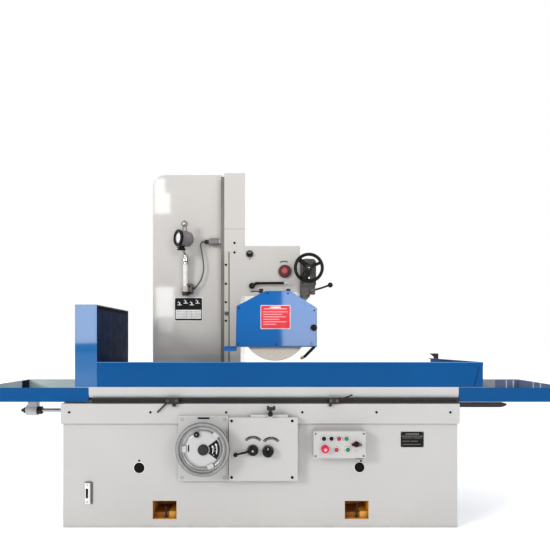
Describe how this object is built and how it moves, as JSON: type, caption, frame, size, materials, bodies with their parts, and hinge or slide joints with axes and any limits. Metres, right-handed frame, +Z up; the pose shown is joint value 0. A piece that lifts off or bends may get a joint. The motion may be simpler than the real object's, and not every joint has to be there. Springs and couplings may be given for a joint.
{
  "type": "surface grinder",
  "caption": "Hydraulic surface grinder with a reciprocating magnetic table, a column, a lifting carriage and a cross-sliding wheelhead.",
  "frame": {"origin": "floor level under the middle of the bed's length, on the table's long centre line", "axes": "+X along the table to the operator's right, +Y from the operator to the back, +Z up"},
  "size_m": [3.2888, 1.518, 2.171],
  "materials": {
    "grey_paint": "gloss",
    "table_paint": "satin",
    "blue_paint": "gloss",
    "blackened_steel": "satin",
    "grey_cast_paint": "satin",
    "way_cover": "satin",
    "ground_steel": "satin",
    "wheel_metal": "satin",
    "lamp_grey": "satin",
    "abrasive": "matte",
    "cable_rubber": "matte",
    "black_plastic": "gloss",
    "red_plastic": "gloss",
    "green_plastic": "gloss"
  },
  "bodies": {
    "base": {"bed_casting": "grey_paint", "column_base": "grey_paint", "front_skirt": "grey_paint", "drip_lip": "blackened_steel", "drive_cylinder": "ground_steel", "feed_wheel_plate": "grey_paint", "valve_panel": "grey_paint", "control_box": "grey_paint", "column": "grey_paint", "column_rail_front": "ground_steel", "column_rail_rear": "ground_steel", "way_cover_strip": "way_cover", "lamp_post": "grey_paint", "lamp_cable": "cable_rubber", "cable_connector": "lamp_grey"},
    "feed_wheel": {"feed_handwheel": "wheel_metal"},
    "dial_knob": {"dial_knob": "black_plastic"},
    "lift_screw": {"lift_screw": "ground_steel"},
    "speed_lever": {"speed_lever": "black_plastic"},
    "throttle": {"throttle_knob": "black_plastic"},
    "reversing_lever": {"reversing_lever": "black_plastic"},
    "button_black_left": {"button_black_left": "black_plastic"},
    "button_black_right": {"button_black_right": "black_plastic"},
    "button_red_upper": {"button_red_upper": "red_plastic"},
    "button_green_upper": {"button_green_upper": "green_plastic"},
    "button_red_lower": {"button_red_lower": "red_plastic"},
    "button_green_lower": {"button_green_lower": "green_plastic"},
    "selector": {"selector_switch": "black_plastic"},
    "emergency_stop": {"emergency_stop": "red_plastic"},
    "lamp_neck": {"lamp_neck": "ground_steel"},
    "lamp_head": {"lamp_head": "lamp_grey"},
    "table": {"table_casting": "table_paint", "dog_rail": "blackened_steel", "magnetic_chuck": "ground_steel", "trough_front": "blue_paint", "trough_rear": "blue_paint", "trough_right_end": "blue_paint", "splash_shield": "blue_paint", "rod_bracket": "grey_paint", "piston_rod": "ground_steel", "left_tray": "blue_paint", "right_tray": "blue_paint"},
    "left_dog": {"left_dog": "blackened_steel"},
    "right_dog": {"right_dog": "blackened_steel"},
    "carriage": {"carriage_casting": "grey_paint", "carriage_cover": "grey_paint", "oil_cap": "black_plastic", "feed_gearbox": "grey_cast_paint"},
    "arm_stop": {"arm_stop": "red_plastic"},
    "arm_lever": {"arm_lever": "black_plastic"},
    "cross_wheel": {"cross_handwheel": "black_plastic"},
    "crank": {"crank_handle": "black_plastic"},
    "ball_lever": {"ball_lever": "black_plastic"},
    "cross_screw": {"cross_screw": "ground_steel"},
    "wheelhead": {"wheelhead_casting": "grey_paint", "wheel_guard": "blue_paint", "motor": "grey_cast_paint"},
    "spindle": {"spindle": "ground_steel", "grinding_wheel": "abrasive"},
    "nozzle": {"coolant_nozzle": "black_plastic"}
  },
  "joints": [
    {"name": "table_slide", "type": "slide", "parent": "base", "child": "table", "axis": [1, 0, 0], "range_m": [-0.6, 0.6]},
    {"name": "left_dog_slide", "type": "slide", "parent": "table", "child": "left_dog", "axis": [1, 0, 0], "range_m": [-0.35, 0.25]},
    {"name": "right_dog_slide", "type": "slide", "parent": "table", "child": "right_dog", "axis": [1, 0, 0], "range_m": [-0.25, 0.55]},
    {"name": "feed_turn", "type": "hinge", "parent": "base", "child": "feed_wheel", "pos_m": [-0.302, -0.455, 0.455], "axis": [0, 1, 0], "range_deg": [-1080, 32400]},
    {"name": "dial_knob_turn", "type": "hinge", "parent": "feed_wheel", "child": "dial_knob", "pos_m": [-0.335, -0.44, 0.533], "axis": [0, 1, 0], "range_deg": [-180, 180]},
    {"name": "lift_screw_turn", "type": "hinge", "parent": "base", "child": "lift_screw", "pos_m": [-0.315, 0.66, 0.7], "axis": [0, 0, 1], "range_deg": [-540, 16200]},
    {"name": "carriage_lift", "type": "slide", "parent": "base", "child": "carriage", "axis": [0, 0, 1], "range_m": [-0.015, 0.45]},
    {"name": "cross_turn", "type": "hinge", "parent": "carriage", "child": "cross_wheel", "pos_m": [0.307, 0.27, 1.512], "axis": [0, 1, 0], "range_deg": [-15120, 15120]},
    {"name": "crank_spin", "type": "hinge", "parent": "cross_wheel", "child": "crank", "pos_m": [0.26637, 0.27, 1.45999], "axis": [0, 1, 0], "continuous": true},
    {"name": "cross_screw_turn", "type": "hinge", "parent": "carriage", "child": "cross_screw", "pos_m": [0.082, 0.4, 1.43], "axis": [0, 1, 0], "range_deg": [-15120, 15120]},
    {"name": "head_cross", "type": "slide", "parent": "carriage", "child": "wheelhead", "axis": [0, 1, 0], "range_m": [-0.21, 0.21]},
    {"name": "spindle_spin", "type": "hinge", "parent": "wheelhead", "child": "spindle", "pos_m": [0.082, 0, 1.107], "axis": [0, 1, 0], "continuous": true},
    {"name": "nozzle_swivel", "type": "hinge", "parent": "wheelhead", "child": "nozzle", "pos_m": [0.318, -0.06, 1.012], "axis": [0, 1, 0], "range_deg": [-20, 20]},
    {"name": "arm_stop_press", "type": "slide", "parent": "carriage", "child": "arm_stop", "axis": [0, 1, 0], "range_m": [0, 0.005], "stiffness_N_per_m": 1500},
    {"name": "arm_lever_turn", "type": "hinge", "parent": "carriage", "child": "arm_lever", "pos_m": [-0.073, 0.36, 1.401], "axis": [0, 1, 0], "range_deg": [-10, 15]},
    {"name": "ball_lever_turn", "type": "hinge", "parent": "carriage", "child": "ball_lever", "pos_m": [0.337, 0.33, 1.366], "axis": [0, 1, 0], "range_deg": [-35, 35]},
    {"name": "speed_lever_turn", "type": "hinge", "parent": "base", "child": "speed_lever", "pos_m": [-0.039, -0.4, 0.437], "axis": [0, 1, 0], "range_deg": [-33, 33]},
    {"name": "throttle_turn", "type": "hinge", "parent": "base", "child": "throttle", "pos_m": [0.043, -0.4, 0.434], "axis": [0, 1, 0], "range_deg": [-33, 33]},
    {"name": "reversing_turn", "type": "hinge", "parent": "base", "child": "reversing_lever", "pos_m": [0.056, -0.4, 0.634], "axis": [0, 1, 0], "range_deg": [-20, 20]},
    {"name": "button_black_left_press", "type": "slide", "parent": "base", "child": "button_black_left", "axis": [0, 1, 0], "range_m": [0, 0.004], "stiffness_N_per_m": 800},
    {"name": "button_black_right_press", "type": "slide", "parent": "base", "child": "button_black_right", "axis": [0, 1, 0], "range_m": [0, 0.004], "stiffness_N_per_m": 800},
    {"name": "button_red_upper_press", "type": "slide", "parent": "base", "child": "button_red_upper", "axis": [0, 1, 0], "range_m": [0, 0.004], "stiffness_N_per_m": 800},
    {"name": "button_green_upper_press", "type": "slide", "parent": "base", "child": "button_green_upper", "axis": [0, 1, 0], "range_m": [0, 0.004], "stiffness_N_per_m": 800},
    {"name": "button_red_lower_press", "type": "slide", "parent": "base", "child": "button_red_lower", "axis": [0, 1, 0], "range_m": [0, 0.004], "stiffness_N_per_m": 800},
    {"name": "button_green_lower_press", "type": "slide", "parent": "base", "child": "button_green_lower", "axis": [0, 1, 0], "range_m": [0, 0.004], "stiffness_N_per_m": 800},
    {"name": "selector_turn", "type": "hinge", "parent": "base", "child": "selector", "pos_m": [0.518, -0.41, 0.474], "axis": [0, 1, 0], "range_deg": [-45, 45]},
    {"name": "emergency_stop_press", "type": "slide", "parent": "base", "child": "emergency_stop", "axis": [0, 1, 0], "range_m": [0, 0.006]},
    {"name": "lamp_swivel", "type": "hinge", "parent": "base", "child": "lamp_neck", "pos_m": [-0.527, 0.385, 1.56], "axis": [0, 0, 1], "range_deg": [-30, 35]},
    {"name": "lamp_tilt", "type": "hinge", "parent": "lamp_neck", "child": "lamp_head", "pos_m": [-0.541, 0.345, 1.652], "axis": [1, 0, 0], "range_deg": [-8, 40]}
  ],
  "couplings": [
    {"joint": "carriage_lift", "follows": "feed_turn", "m_per_rad": 0.00079577},
    {"joint": "lift_screw_turn", "follows": "feed_turn", "ratio": 0.5},
    {"joint": "cross_turn", "follows": "head_cross", "rad_per_m": 1256.6},
    {"joint": "cross_screw_turn", "follows": "head_cross", "rad_per_m": 1256.6}
  ]
}
